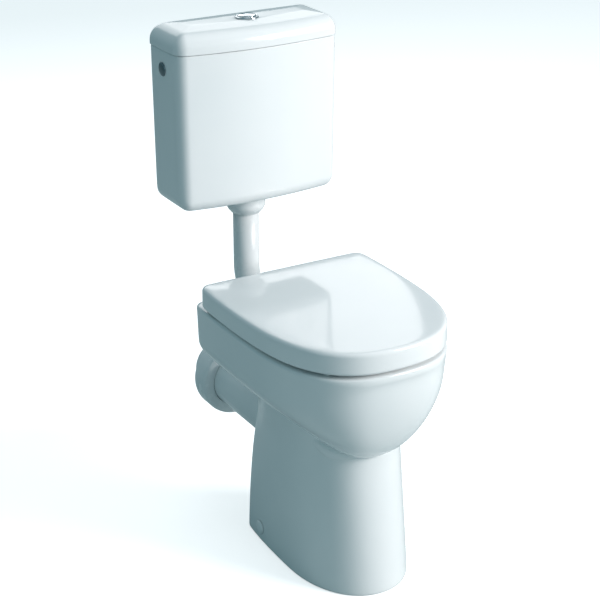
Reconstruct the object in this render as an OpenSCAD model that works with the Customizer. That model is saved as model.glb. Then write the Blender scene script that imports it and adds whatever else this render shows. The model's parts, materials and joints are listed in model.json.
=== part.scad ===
// Floor-standing washdown WC pan with a low-level cistern on a short flush pipe.
// Frame: origin on the floor, on the centre plane, in line with the pan's floor fixings.
// +X to the right for someone facing the wall, +Y to the wall, +Z up, millimetres.

/* [Pan] */
// Height of the ceramic rim above the floor
rim_h = 460; // [390:5:560]
// Width of the pan at the rim
rim_w = 345; // [310:1:420]
// Front of the rim, ahead of the floor fixings
rim_front = 311; // [280:1:380]
// Rear face of the pan, behind the floor fixings
pan_rear = 137; // [120:1:170]
// Drop from the rim to where the side of the bowl turns under
side_drop = 71; // [50:1:90]
// Drop from the rim to the edge of the skirt's underside
skirt_drop = 125; // [110:1:150]
// Thickness of the ceramic
wall = 10; // [8:0.5:14]
// Width of the bowl's opening
bowl_w = 242; // [210:1:270]
// Length of the bowl's opening
bowl_l = 290; // [260:1:320]

/* [Foot] */
// Width of the foot on the floor
foot_w = 220; // [190:1:260]
// Front of the foot, ahead of the floor fixings
foot_front = 274; // [240:1:300]
// Rear of the foot, behind the floor fixings
foot_rear = 67; // [55:1:85]
// Height at which the foot meets the bowl
foot_top = 250; // [215:1:290]
// Height of the side fixing screws
side_fix_h = 29; // [24:1:40]
// Distance between the two floor screws
floor_pitch = 130; // [100:1:150]

/* [Outlet] */
// Height of the outlet's centre line
outlet_h = 203; // [185:1:230]
// Radius of the ceramic outlet inside the connector
spigot_r = 51; // [48:0.5:55]
// Radius of the ceramic outlet between foot and connector
neck_r = 57; // [55.5:0.5:62]
// Front face of the connector's collar, behind the floor fixings
collar_y = 275; // [250:1:300]
// Length of the connector's collar
collar_l = 47; // [40:1:60]
// Radius of the connector's collar
collar_r = 79; // [72:0.5:85]
// Radius of the connector's tail, which goes into a 110 mm soil pipe socket
tail_r = 55; // [50:0.5:58]
// Length of the connector's tail
tail_l = 40; // [30:1:90]

/* [Seat] */
// Width of the seat cover
cover_w = 355; // [330:1:430]
// Height of the cover's top above the rim
cover_rise = 50; // [44:1:60]
// Gap from the rim to the seat ring, as thick as its buffers
buffer_h = 4; // [3:0.5:6]
// Thickness of the seat ring
ring_t = 18; // [14:0.5:22]
// Wall of the cover's shell
cover_wall = 4; // [3:0.5:5]
// Distance between the two hinge posts
hinge_pitch = 155; // [140:1:170]
// Distance from the cover's rear edge to the hinge axis
hinge_back = 18; // [16:0.5:22]
// Height of the hinge axis above the rim
hinge_rise = 28; // [26:0.5:32]
// Radius of the hinge pins
pin_r = 4; // [3:0.5:5]

/* [Cistern] */
// Distance from the floor fixings to the wall
wall_y = 287; // [270:1:320]
// Width of the cistern at the lid's seam
tank_w = 334; // [290:1:440]
// Depth of the cistern at its middle
tank_d = 130; // [120:1:165]
// Height of the cistern's underside above the floor
tank_z = 619; // [600:1:760]
// Height of the cistern's body
tank_h = 297; // [245:1:400]
// Wall of the cistern
tank_wall = 4; // [3:0.5:6]
// Height of the lid above the body
lid_h = 43; // [38:1:55]
// Distance of the flush pipe's centre line from the wall
pipe_off = 50; // [45:1:60]
// Outer radius of the flush pipe
pipe_r = 25; // [22:0.5:27]
// Distance of the push button's centre from the wall
button_off = 64; // [58:1:70]
// Outer radius of the button's bezel
bezel_r = 22; // [20.5:0.5:26]
// Travel of the push buttons
button_travel = 6; // [4:0.5:8]
// Distance of the side holes below the lid's seam
side_hole_drop = 35; // [30:1:50]
// Distance between the wall fixing holes
wall_pitch = 150; // [120:1:200]

/* [Clearances] */
// Radial clearance of a turning fit
run_gap = 0.05; // [0.02:0.01:0.1]
// Radial clearance of a part pushed through a hole
hole_gap = 0.4; // [0.3:0.1:1]

/* [Hidden] */
$fn = 64;

steps = 8;                              // points along a quarter of a rounded front
mid_y = -48;                            // widest place of the pan's outline
cover_rear = pan_rear - 35;             // rear edge of the seat cover
cover_front = -rim_front - 2;
under_w = foot_w / 2 - 18;              // half-width where the skirt's underside ends, inside the foot
foot_mid = -118;
hinge_y = cover_rear - hinge_back;
hinge_z = rim_h + hinge_rise;
ring_z = rim_h + buffer_h;
cover_z = ring_z + 5.5;                 // lower edge of the cover
cover_top = rim_h + cover_rise;
pipe_y = wall_y - pipe_off;
button_y = wall_y - button_off;
seam_z = tank_z + tank_h;
lid_gap = 1.2;                          // thickness of the pads under the lid
lid_z = seam_z + lid_gap;
lid_top = seam_z + lid_h;
lid_over = 2;                           // how far the lid stands out over the body
tank_front = wall_y - tank_d;
side_hole_z = seam_z - side_hole_drop;
horn_z = rim_h - 60;                    // centre line of the flush inlet
trap_r = 37;                            // radius of the waterway
trap_out = trap_r + 8;                  // outside of the trap where it leaves the bowl
trap_bend = 48;                         // radius of the waterway's bends
sump_y = -118;                          // rear of the pool at the bottom of the bowl
sump_z = outlet_h - 22;
weir_z = outlet_h + trap_bend;          // centre of the bend over the weir
bowl_rear = pan_rear - 123;             // rear edge of the bowl's opening
boss_l = 30;                            // depth of the deck where the seat is fixed
// half-width of the foot at the side fixings
foot_side = foot_w / 2 - 9 * side_fix_h / foot_top - 8.4 * pow(-foot_mid / (foot_rear - foot_mid), 2);

// ---------- outlines and lofts ----------

function arc(cx, cy, r, a0, a1, n) =
    [for (i = [0:n]) let(a = a0 + (a1 - a0) * i / n) [cx + r * cos(a), cy + r * sin(a)]];

function spow(v, e) = sign(v) * pow(abs(v), e);

// D-shaped outline: round front, nearly straight sides, squarer rear with corners of radius rc.
// a is the half-width at y = mid, and the sides close in by taper at the rear.
function d_shape(a, front, rear, mid, n, rc, taper = 0) =
    let(b = a - taper, s = steps * 4)
    concat(
        arc(b - rc, rear - rc, rc, 0, 90, 5),
        arc(-b + rc, rear - rc, rc, 90, 180, 5),
        [for (u = [0.75, 0.5, 0.25]) let(w = u * (rear - rc - mid) / (rear - mid))
            [-a + taper * w * w, mid + u * (rear - rc - mid)]],
        [for (i = [0:s / 2]) let(t = 180 + 360 * i / s)
            [a * spow(cos(t), 2 / n), mid + (mid - front) * spow(sin(t), 2 / n)]],
        [for (u = [0.25, 0.5, 0.75]) let(w = u * (rear - rc - mid) / (rear - mid))
            [a - taper * w * w, mid + u * (rear - rc - mid)]]);

// Places an outline at a height that may fall from zs at the sides to zf at the front
function ring(outline, zs, zf = undef, mid = 0, front = -1, k = 1) =
    [for (p = outline) let(w = max(0, (p[1] - mid) / (front - mid)))
        [p[0], p[1], zf == undef ? zs : zs + (zf - zs) * pow(min(1, w), k)]];

// Solid through a list of rings, from the bottom up; joined end to end when closed
module loft(rings, closed = false) {
    n = len(rings[0]);
    m = len(rings);
    last = closed ? m - 1 : m - 2;
    sides = [for (i = [0:last], j = [0:n - 1]) let(k = (j + 1) % n, h = (i + 1) % m)
        each [[i * n + j, h * n + j, h * n + k], [i * n + j, h * n + k, i * n + k]]];
    ends = closed ? [] : [[for (j = [0:n - 1]) j], [for (j = [n - 1:-1:0]) (m - 1) * n + j]];
    polyhedron(points = [for (r = rings) each r], faces = concat(sides, ends), convexity = 8);
}

// Tube or rod along a path in the Y-Z plane; each station is [y, z, radius]
module swept(path, sides = 18) {
    m = len(path);
    rings = [for (i = [0:m - 1])
        let(a = path[max(0, i - 1)], b = path[min(m - 1, i + 1)],
            d = [b[0] - a[0], b[1] - a[1]], l = norm(d), ny = -d[1] / l, nz = d[0] / l)
        [for (j = [0:sides - 1]) let(t = -360 * j / sides, r = path[i][2])
            [r * cos(t), path[i][0] + r * sin(t) * ny, path[i][1] + r * sin(t) * nz]]];
    loft(rings);
}

module both_sides() {
    children();
    mirror([1, 0, 0]) children();
}

// Ring-shaped solid about +Z
module washer(r_out, r_in, h) {
    difference() {
        cylinder(r = r_out, h = h);
        translate([0, 0, -1]) cylinder(r = r_in, h = h + 2);
    }
}

// ---------- pan ----------

// Rings of the bowl and skirt, brought in by t; the front curves down into a round bowl
function bowl_skin(t) =
    let(a0 = rim_w / 2 - t, a1 = a0 - 2, f0 = -rim_front + t, rear = pan_rear - t,
        f1 = f0 + 4, a2 = under_w - t, f2 = -foot_front + 54 + t, r2 = foot_rear - 5 - t,
        zs1 = rim_h - side_drop, zs2 = rim_h - skirt_drop + t,
        zf1 = rim_h - 21, zf2 = foot_top + 10 + t, n1 = 2.8, n2 = 2.4)
    concat(
        [for (i = [9:-1:1]) let(u = 90 * i / 9, c = cos(u), s = sin(u),
            a = a2 + (a1 - a2) * c, f = f2 + (f1 - f2) * c)
            ring(d_shape(a, f, r2 + (rear - r2) * c, mid_y, n1 + (n2 - n1) * (1 - c), 22, 3),
                zs1 + (zs2 - zs1) * s, zf1 + (zf2 - zf1) * s, mid_y, f, 2.4)],
        [ring(d_shape(a1, f1, rear, mid_y, n1, 22, 3), zs1, zf1, mid_y, f1, 2.4),
         ring(d_shape(a0 - 0.4, f0, rear, mid_y, n1, 22, 3), rim_h - 14),
         ring(d_shape(a0, f0, rear, mid_y, n1, 22, 3), rim_h - (t > 0 ? t : 4))],
        t > 0 ? [] : [ring(d_shape(a0 - 1, f0 + 1, rear - 1, mid_y, n1, 22, 3), rim_h - 1.5),
            ring(d_shape(a0 - 4, f0 + 4, rear - 4, mid_y, n1, 22, 3), rim_h)]);

// Rings of the foot, brought in by t, which run up into the bowl
function foot_skin(t) =
    let(top = rim_h - skirt_drop + 10)
    [for (u = [0, 0.35, 0.65, 0.85, 1, 1.16, (top + t) / foot_top]) let(v = min(u, 1), z = u * foot_top)
        ring(d_shape(foot_w / 2 - 9 * v - t, -foot_front + 33 * v + t, foot_rear - t,
            foot_mid + 20 * v, 2.1 + 0.2 * v, 18, 8.4 + 14 * v * v * v), t > 0 && u == 0 ? -1 : z)];

// Rings of the bowl's hollow, grown by t: drop below the rim, half-width, front and rear
function bowl_hollow(t) =
    let(w = bowl_w / 2, rear = bowl_rear, front = rear - bowl_l, d = rim_h - sump_z,
        rows = [[d + 46 + t, 24, sump_y - 56, sump_y - 14], [d + 28, 46 + t, sump_y - 72 - t, sump_y - 4 + t],
            [d - 8, 52 + t, sump_y - 78 - t, sump_y + t], [d - 52, 56 + t, sump_y - 84 - t, sump_y + t],
            [d - 80, 68 + t, front + 56 - t, sump_y + 2 + t], [d - 115, 88 + t, front + 36 - t, sump_y + 12 + t],
            [128, w - 24 + t, front + 26 - t, sump_y + 46 + t], [110, w - 15 + t, front + 18 - t, rear - 50 + t],
            [60, w - 3 + t, front + 4 - t, rear - 4 + t], [20, w + t, front - 1 - t, rear + t],
            [-1, w - 1 + t, front - t, rear + t]])
    [for (r = rows) let(rc = min(r[1] * 0.75, (r[3] - r[2]) / 3))
        ring(d_shape(r[1], r[2], r[3], (r[2] + r[3]) / 2 + 4, 2.3, rc), rim_h - r[0])];

// Waterway from the pool, up over the weir and down to the straight outlet, ending at y = end;
// its radius is r, and r + flare along the outlet
module trap(r, flare, end) {
    n = 5;
    weir_y = sump_y + 2 * trap_bend;
    run_y = sump_y + 4 * trap_bend;
    path = concat([[sump_y - 30, sump_z]],
        arc(sump_y, sump_z + trap_bend, trap_bend, -90, 0, n),
        arc(weir_y, weir_z, trap_bend, 180, 0, 2 * n),
        [for (i = [1:n]) let(a = 180 + 90 * i / n)
            [run_y + trap_bend * cos(a), weir_z + trap_bend * sin(a)]]);
    swept(concat([for (p = path) [p[0], p[1], r]],
        [[run_y + 20, outlet_h, r + flare], [end, outlet_h, r + flare]]));
}

// Round solid along Y at height z
module bore_along_y(r, z, from, to) {
    translate([0, to, z]) rotate([90, 0, 0]) cylinder(r = r, h = to - from, $fn = 36);
}

module horn(r, from, to) {
    bore_along_y(r, horn_z, from, to);
}

// Slots that let the flush into the bowl from the inlet behind it
module flush_slots() {
    for (x = [-15, 0, 15]) hull() for (z = [-8, 8])
        translate([x, bowl_rear + wall, horn_z + z]) rotate([90, 0, 0]) cylinder(r = 4, h = 40, $fn = 16);
}

// Thick place under the deck that the seat's stud goes through
module seat_boss() translate([hinge_pitch / 2, hinge_y, 0]) hull() {
    translate([0, 0, rim_h - boss_l]) cylinder(r = 13, h = 1, $fn = 24);
    translate([0, 0, rim_h - wall]) cylinder(r = 18, h = 1, $fn = 24);
}

// Opening under the deck, where the seat's nut is reached
module nut_access() hull() for (y = [foot_rear + 18, foot_rear + 46], z = [-24, 24])
    translate([48, y, rim_h - skirt_drop + z]) rotate([0, 90, 0]) cylinder(r = 8, h = 80, $fn = 16);

// Thick place inside the foot, round the side fixing's hole
module side_boss() hull() {
    translate([foot_side - wall - 1, 0, side_fix_h]) rotate([0, 90, 0]) cylinder(r = 12, h = 1, $fn = 24);
    translate([foot_side - wall + 3, 0, side_fix_h]) rotate([0, 90, 0]) cylinder(r = 17, h = 1, $fn = 24);
}

// The casting: a skin, the bowl's hollow with its trap, and the space between
module pan() color("white") difference() {
    union() {
        difference() {
            union() {
                loft(bowl_skin(0));
                loft(foot_skin(0));
            }
            difference() {
                union() {
                    loft(bowl_skin(wall));
                    loft(foot_skin(wall));
                }
                loft(bowl_hollow(wall - 1));
                trap(trap_out - 1, neck_r - trap_out, pan_rear);
                horn(36, bowl_rear - 20, pan_rear);
                both_sides() {
                    seat_boss();
                    side_boss();
                }
            }
        }
        trap(trap_out, neck_r - trap_out, collar_y - 3);
        bore_along_y(spigot_r, outlet_h, collar_y - 14, collar_y + collar_l - 18);
    }
    loft(bowl_hollow(0));
    trap(trap_r, 0, collar_y + collar_l);
    horn(26, bowl_rear + wall - 2, pan_rear + 1);
    horn(pipe_r + 5, pan_rear - 24, pan_rear + 1);
    flush_slots();
    both_sides() {
        translate([hinge_pitch / 2, hinge_y, rim_h - 60]) cylinder(r = 7, h = 80, $fn = 24);
        translate([foot_w / 2 - 40, 0, side_fix_h]) rotate([0, 90, 0]) cylinder(r = 8, h = 60, $fn = 24);
        nut_access();
    }
}

// ---------- floor fixings ----------

bracket_x = foot_side - wall - 3;       // outer face of a floor bracket
screw_r = 3;

module floor_brackets() color("dimgray") both_sides() difference() {
    union() {
        translate([floor_pitch / 2 - 14, -16, 0]) cube([bracket_x - floor_pitch / 2 + 14, 32, 5]);
        translate([bracket_x - 10, -16, 0]) cube([10, 32, side_fix_h + 9]);
    }
    translate([floor_pitch / 2, 0, -1]) cylinder(r = 3.5, h = 8);
    translate([bracket_x - 11, 0, side_fix_h]) rotate([0, 90, 0]) cylinder(r = screw_r + run_gap, h = 12);
}

module screw_sleeves() color("whitesmoke") both_sides()
    translate([foot_side - wall - 1, 0, side_fix_h]) rotate([0, 90, 0]) washer(7.6, screw_r + 0.3, wall - 1);

module side_screws() color("silver") both_sides()
    translate([bracket_x - 14, 0, side_fix_h]) rotate([0, 90, 0]) {
        cylinder(r = screw_r, h = foot_side - bracket_x + 13);
        translate([0, 0, foot_side - bracket_x + 12.4]) cylinder(r = 6, h = 2.6);
    }

module screw_caps() color("white") both_sides()
    translate([foot_side, 0, side_fix_h]) rotate([0, 90, 0]) rotate_extrude() difference() {
        polygon([[0, 1.1], [14, 1.1], [14, 2.1], [12.5, 3.7], [8, 4.7], [0, 5.1]]);
        translate([-1, -1]) square([8, 3.9]);
    }

// ---------- outlet ----------

module outlet_connector() color("white")
    translate([0, collar_y, outlet_h]) rotate([-90, 0, 0]) rotate_extrude() polygon([
        [neck_r + 0.6, 0], [collar_r - 9, 0], [collar_r - 4, 1.6], [collar_r - 1, 5], [collar_r, 10],
        [collar_r, collar_l - 5], [collar_r - 1.5, collar_l - 1.5], [collar_r - 5, collar_l],
        [tail_r, collar_l], [tail_r, collar_l + tail_l - 3], [tail_r - 1.5, collar_l + tail_l],
        [tail_r - 4, collar_l + tail_l], [tail_r - 4, collar_l - 4], [neck_r + 6, collar_l - 4],
        [neck_r + 6, 6], [neck_r + 0.6, 6]]);

module outlet_seal() color("#303336")
    translate([0, collar_y + 7, outlet_h]) rotate([-90, 0, 0]) rotate_extrude() polygon([
        [spigot_r + run_gap, 4], [spigot_r + run_gap, 8], [neck_r + 2, 10], [spigot_r + run_gap, 14],
        [spigot_r + run_gap, 18], [neck_r + 2, 20], [neck_r + 2, collar_l - 22],
        [neck_r + 5.5, collar_l - 22], [neck_r + 5.5, 0], [neck_r + 2, 0]]);

// ---------- flush pipe ----------

bend_r = 70;
pipe_end = pan_rear - 18;
nut_top = tank_z - 1.2;
nut_r = 38;
stub_r = 29;
stub_z = tank_z - 24;
pipe_top = stub_z - 2;

module tube_profile() difference() {
    circle(r = pipe_r);
    circle(r = pipe_r - 2);
}

module flush_pipe() color("white") {
    translate([0, pipe_y, horn_z + bend_r]) linear_extrude(pipe_top - horn_z - bend_r) tube_profile();
    translate([0, pipe_y - bend_r, horn_z + bend_r]) rotate([90, 0, 90]) rotate([0, 0, -90])
        rotate_extrude(angle = 90) translate([bend_r, 0]) tube_profile();
    translate([0, pipe_end, horn_z]) rotate([-90, 0, 0])
        linear_extrude(pipe_y - bend_r - pipe_end) tube_profile();
}

module flush_cone() color("#303336")
    translate([0, pan_rear - 22, horn_z]) rotate([-90, 0, 0]) rotate_extrude() polygon([
        [pipe_r + run_gap, 0], [pipe_r + 3.6, 0], [pipe_r + 4.6, 12], [pipe_r + 4.6, 22.3],
        [pipe_r + 11, 22.3], [pipe_r + 11, 25], [pipe_r + 6, 32], [pipe_r + 3, 38],
        [pipe_r + run_gap, 38]]);

module flush_nut() color("white") translate([0, pipe_y, 0]) rotate_extrude() polygon([
    [stub_r + run_gap, nut_top], [nut_r - 1, nut_top], [nut_r, nut_top - 2], [nut_r, stub_z + 1],
    [nut_r - 1, stub_z - 4], [nut_r - 3.5, stub_z - 9], [nut_r - 7.5, stub_z - 13.5],
    [pipe_r + 2.5, stub_z - 17], [pipe_r + 0.3, stub_z - 17],
    [pipe_r + 0.3, stub_z - 15], [stub_r + 0.5, stub_z - 11], [stub_r + 0.5, stub_z - 1],
    [stub_r + run_gap, stub_z - 1]]);

module flush_washer() color("#303336") translate([0, pipe_y, 0]) rotate_extrude() polygon([
    [pipe_r + run_gap, stub_z - 14], [pipe_r + 0.8, stub_z - 14], [stub_r, stub_z - 10],
    [stub_r, stub_z - 0.6], [pipe_r + run_gap, stub_z - 0.6]]);

// ---------- seat ----------

// Outline of the cover, brought in by t
function cover_shape(t) =
    d_shape(cover_w / 2 - t, cover_front + t, cover_rear - t, mid_y, 2.6, max(22 - t, 8), 2.5);

// Outline of the seat's opening, grown by t
function seat_hole(t) = let(w = bowl_w / 2 - 12, rear = pan_rear - 142, front = rear - bowl_l + 30)
    d_shape(w + t, front - t, rear + t, (front + rear) / 2, 2.3, w * 0.75);

// Outline of the seat ring, brought in by t: inside the cover's skirt, ahead of the hinge posts
function seat_shape(t) = let(in = cover_wall + 2 + t)
    d_shape(cover_w / 2 - in, cover_front + in, hinge_y - 24 - t, mid_y, 2.6, 22, 1.5);

knuckle_r = 8;
knuckle_l = 11;
post_w = 15;
knuckle_in = hinge_pitch / 2 - post_w / 2 - 0.5 - knuckle_l;
knuckle_out = hinge_pitch / 2 + post_w / 2 + 0.5;

module seat_ring() color("white") {
    z = ring_z;
    t = ring_t;
    difference() {
        union() {
            loft([ring(seat_hole(1.5), z), ring(seat_shape(1.5), z), ring(seat_shape(0), z + 2),
                ring(seat_shape(0), z + t - 6), ring(seat_shape(1.8), z + t - 1.8), ring(seat_shape(6), z + t),
                ring(seat_hole(12), z + t - 1), ring(seat_hole(5), z + t - 3), ring(seat_hole(1), z + t - 7),
                ring(seat_hole(0), z + t - 11)], true);
            both_sides() {
                translate([knuckle_in, hinge_y - 34, z + 4]) cube([knuckle_l, 34, hinge_z - z - 4]);
                translate([knuckle_in, hinge_y, hinge_z]) rotate([0, 90, 0]) cylinder(r = knuckle_r, h = knuckle_l);
            }
        }
        both_sides() translate([knuckle_in - 1, hinge_y, hinge_z]) rotate([0, 90, 0])
            cylinder(r = pin_r + run_gap, h = knuckle_l + 2);
    }
}

module seat_cover() color("white") {
    w = cover_wall;
    r = 7;
    top = cover_top;
    difference() {
        union() {
            difference() {
                loft(concat(
                    [ring(cover_shape(w + 6), top - 5), ring(cover_shape(w + 1.5), top - 7),
                     ring(cover_shape(w), top - 12), ring(cover_shape(w), cover_z)],
                    [ring(cover_shape(0.8), cover_z), ring(cover_shape(0), cover_z + 1.5)],
                    [for (a = [0:15:90]) ring(cover_shape(r * (1 - cos(a))), top - 1.5 - r + r * sin(a))],
                    [ring(cover_shape(40), top - 0.5), ring(cover_shape(90), top)]));
                // rear cut-outs, where the cover swings past the posts
                both_sides() translate([knuckle_in - 2, cover_rear - 12, cover_z - 1])
                    cube([knuckle_out + knuckle_l - knuckle_in + 4, 20, top - cover_z - 7]);
            }
            both_sides() {
                translate([knuckle_out, hinge_y - 7, hinge_z]) cube([knuckle_l, 14, top - 4 - hinge_z]);
                translate([knuckle_out, hinge_y, hinge_z]) rotate([0, 90, 0]) cylinder(r = knuckle_r, h = knuckle_l);
            }
        }
        both_sides() translate([knuckle_out - 1, hinge_y, hinge_z]) rotate([0, 90, 0])
            cylinder(r = pin_r + run_gap, h = knuckle_l + 2);
    }
}

module pad(x, y, z, h, l, w) translate([x, y, z]) {
    linear_extrude(h) union() {
        square([w, l - w], center = true);
        for (s = [-1, 1]) translate([0, s * (l - w) / 2]) circle(r = w / 2);
    }
}

module seat_buffers() color("#e8e8e6") both_sides() {
    pad(cover_w / 2 - 26, mid_y + 40, rim_h, buffer_h, 26, 12);
    pad(cover_w / 2 - 66, cover_front + 66, rim_h, buffer_h, 26, 12);
}

module cover_buffers() color("#e8e8e6") both_sides()
    translate([cover_w / 2 - 66, cover_front + 72, ring_z + ring_t]) cylinder(r = 6, h = cover_top - 5 - ring_z - ring_t);

module hinge_posts() color("silver") both_sides() difference() {
    union() {
        translate([hinge_pitch / 2, hinge_y, rim_h]) cylinder(r = 13, h = 5);
        translate([hinge_pitch / 2 - post_w / 2, hinge_y - knuckle_r, rim_h + 4])
            cube([post_w, knuckle_r * 2, hinge_rise - 4]);
        translate([hinge_pitch / 2 - post_w / 2, hinge_y, hinge_z]) rotate([0, 90, 0]) cylinder(r = knuckle_r, h = post_w);
    }
    translate([hinge_pitch / 2 - post_w, hinge_y, hinge_z]) rotate([0, 90, 0]) cylinder(r = pin_r + 0.02, h = post_w * 2);
    translate([hinge_pitch / 2, hinge_y, rim_h - 1]) cylinder(r = 4.02, h = 14);
}

module hinge_pins() color("silver") both_sides()
    translate([knuckle_in - 0.5, hinge_y, hinge_z]) rotate([0, 90, 0])
        cylinder(r = pin_r, h = knuckle_out + knuckle_l - knuckle_in + 1);

stud_l = 62;
washer_z = rim_h - boss_l;
module hinge_studs() color("silver") both_sides()
    translate([hinge_pitch / 2, hinge_y, rim_h + 11 - stud_l]) cylinder(r = 4, h = stud_l);

module hinge_washers() color("#303336") both_sides()
    translate([hinge_pitch / 2, hinge_y, 0]) rotate_extrude() polygon([
        [4 + run_gap, washer_z - 5], [14, washer_z - 5], [14, washer_z - 0.2], [6.6, washer_z - 0.2],
        [6.6, washer_z + 6], [4 + run_gap, washer_z + 6]]);

module hinge_wing_nuts() color("white") both_sides()
    translate([hinge_pitch / 2, hinge_y, washer_z - 15]) difference() {
        union() {
            cylinder(r = 8, h = 10);
            translate([-17, -2, 0]) cube([34, 4, 8]);
        }
        translate([0, 0, -1]) cylinder(r = 4 + run_gap, h = 12);
    }

// ---------- cistern ----------

// Outline of the cistern, brought in by t except at the wall side, which comes in by tb:
// flat back, front corners of radius rc and a bowed front
function tank_shape(w, t, tb, rc = 24) =
    let(a = w / 2 - t, back = wall_y - tb, bow = 13, f = tank_front + bow + t, r = max(rc - t, 5), rb = 5)
    concat(
        arc(a - rb, back - rb, rb, 0, 90, 3),
        arc(-a + rb, back - rb, rb, 90, 180, 3),
        arc(-a + r, f + r, r, 180, 262, 7),
        [for (i = [1:11]) let(x = -1 + i / 6) [x * (a - r), f - bow * (1 - x * x)]],
        arc(a - r, f + r, r, 278, 360, 7));

function tank_w_at(z) = tank_w - 4 * (seam_z - z) / tank_h;

module side_hole(x, r, h) translate([x, pipe_y, side_hole_z]) rotate([0, 90, 0]) cylinder(r = r, h = h);

plug_r = 9;
inlet_r = 10.4;
thread_r = inlet_r + 0.6;

module cistern_body() color("white") {
    r = 26;
    w = tank_wall;
    difference() {
        loft(concat(
            [for (a = [0:15:90]) ring(tank_shape(tank_w_at(tank_z), r * (1 - sin(a)) * 0.8, 0), tank_z + r * (1 - cos(a)))],
            [ring(tank_shape(tank_w, 0, 0), seam_z), ring(tank_shape(tank_w, w, w), seam_z)],
            [for (a = [90:-15:0]) ring(tank_shape(tank_w_at(tank_z), w + (r - w) * (1 - sin(a)) * 0.8, w),
                tank_z + w + (r - w) * (1 - cos(a)))]));
        translate([0, pipe_y, tank_z - 1]) cylinder(r = stub_r + hole_gap, h = w + 2);
        side_hole(-tank_w, plug_r + hole_gap, tank_w);
        side_hole(0, thread_r + hole_gap, tank_w);
        both_sides() translate([wall_pitch / 2, wall_y + 1, side_hole_z]) rotate([90, 0, 0]) cylinder(r = 5, h = w + 2);
    }
}

module cistern_lid() color("white") {
    r = 30;
    w = tank_wall;
    o = lid_over;
    top = lid_top - 3;
    difference() {
        loft(concat(
            [ring(tank_shape(tank_w, r, r), lid_under)],
            [for (a = [75:-15:0]) let(in = (r - w) * (1 - cos(a)))
                ring(tank_shape(tank_w, w - o + in, w + in / 2), top - r + (lid_under - top + r) * sin(a))],
            [ring(tank_shape(tank_w, w + 5, w + 6), lid_z + 5), ring(tank_shape(tank_w, w + 5, w + 6), lid_z - 7),
             ring(tank_shape(tank_w, w + 2, w + 2), lid_z - 7), ring(tank_shape(tank_w, w + 2, w + 2), lid_z),
             ring(tank_shape(tank_w, 0.8 - o, 0), lid_z), ring(tank_shape(tank_w, -o, 0), lid_z + 1)],
            [for (a = [0:15:90]) let(in = r * (1 - cos(a)))
                ring(tank_shape(tank_w, in - o, in / 2), top - r + r * sin(a))],
            [ring(tank_shape(tank_w, 50, 40), lid_top)]));
        translate([0, button_y, lid_top - 20]) cylinder(r = bezel_r - 2, h = 30);
    }
}

module lid_pads() color("#303336") both_sides() for (y = [tank_front + 42, wall_y - 24])
    translate([tank_w / 2 - tank_wall + 0.4, y, seam_z]) cube([tank_wall - 1.2, 10, lid_gap]);

module side_plug() color("silver") {
    translate([-tank_w / 2 - 3.4, pipe_y, side_hole_z]) rotate([0, 90, 0]) rotate_extrude()
        polygon([[0, 0], [8, 0.4], [12, 1.4], [13.5, 3.1], [plug_r, 3.3], [plug_r, 18], [0, 18]]);
}

module side_plug_nut() color("white") translate([-tank_w / 2 + tank_wall + 0.5, pipe_y, side_hole_z]) rotate([0, 90, 0])
    difference() {
        cylinder(r = 14, h = 6, $fn = 6);
        translate([0, 0, -1]) cylinder(r = plug_r + run_gap, h = 8);
    }

// ---------- fill valve ----------

valve_x = tank_w / 2;                   // outer face of the cistern's right side
arm_x = valve_x - 50;                   // pivot of the float arm
arm_z = side_hole_z - 20;
arm_l = 46;

module fill_valve() color("whitesmoke") difference() {
    union() {
        translate([valve_x - 20, pipe_y, side_hole_z]) rotate([0, 90, 0]) cylinder(r = thread_r, h = 28);
        translate([valve_x, pipe_y, side_hole_z]) rotate([0, 90, 0]) cylinder(r = inlet_r, h = 25);
        translate([valve_x - tank_wall - 6, pipe_y, side_hole_z]) rotate([0, 90, 0]) cylinder(r = 16, h = 4);
        translate([valve_x - 44, pipe_y, side_hole_z]) rotate([0, 90, 0]) cylinder(r = 12, h = 35);
        for (s = [-1, 1]) translate([arm_x - 6, pipe_y + s * 9.5 - 2.5, arm_z - 6]) cube([18, 5, 24]);
        translate([valve_x - 28, pipe_y, side_hole_z - 34]) cylinder(r = 7, h = 30);
    }
    translate([valve_x - 30, pipe_y, side_hole_z]) rotate([0, 90, 0]) cylinder(r = 6, h = 60);
    translate([valve_x - 28, pipe_y, side_hole_z - 35]) cylinder(r = 5, h = 32);
    translate([arm_x, pipe_y - 15, arm_z]) rotate([-90, 0, 0]) cylinder(r = 2.02, h = 30);
}

module fill_valve_pin() color("silver") translate([arm_x, pipe_y - 13, arm_z]) rotate([-90, 0, 0]) cylinder(r = 2, h = 26);

module fill_valve_washer() color("#303336")
    translate([valve_x - tank_wall - 1.95, pipe_y, side_hole_z]) rotate([0, 90, 0]) washer(15, thread_r + 0.1, 1.6);

module fill_valve_nut() color("whitesmoke") translate([valve_x + 0.5, pipe_y, side_hole_z]) rotate([0, 90, 0]) difference() {
    cylinder(r = 17, h = 7, $fn = 6);
    translate([0, 0, -1]) cylinder(r = thread_r + run_gap, h = 9);
}

module float_arm() color("whitesmoke") translate([arm_x, pipe_y, arm_z]) difference() {
    union() {
        rotate([-90, 0, 0]) translate([0, 0, -6]) cylinder(r = 5, h = 12);
        translate([-arm_l, -3, -3]) cube([arm_l, 6, 6]);
        translate([-arm_l, 0, -16]) cylinder(r = 4, h = 19);
    }
    rotate([-90, 0, 0]) translate([0, 0, -7]) cylinder(r = 2 + run_gap, h = 14);
}

module float_cup() color("lightsteelblue") translate([arm_x - arm_l, pipe_y, arm_z - 72]) difference() {
    union() {
        cylinder(r = 24, h = 56);
        cylinder(r = 25, h = 4);
    }
    translate([0, 0, -1]) cylinder(r = 22, h = 54);
}

// ---------- flush valve ----------

tower_r = 32;
tower_z = tank_z + tank_wall + 2.2;
tower_top = seam_z - 32;
tube_r = 14;

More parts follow.
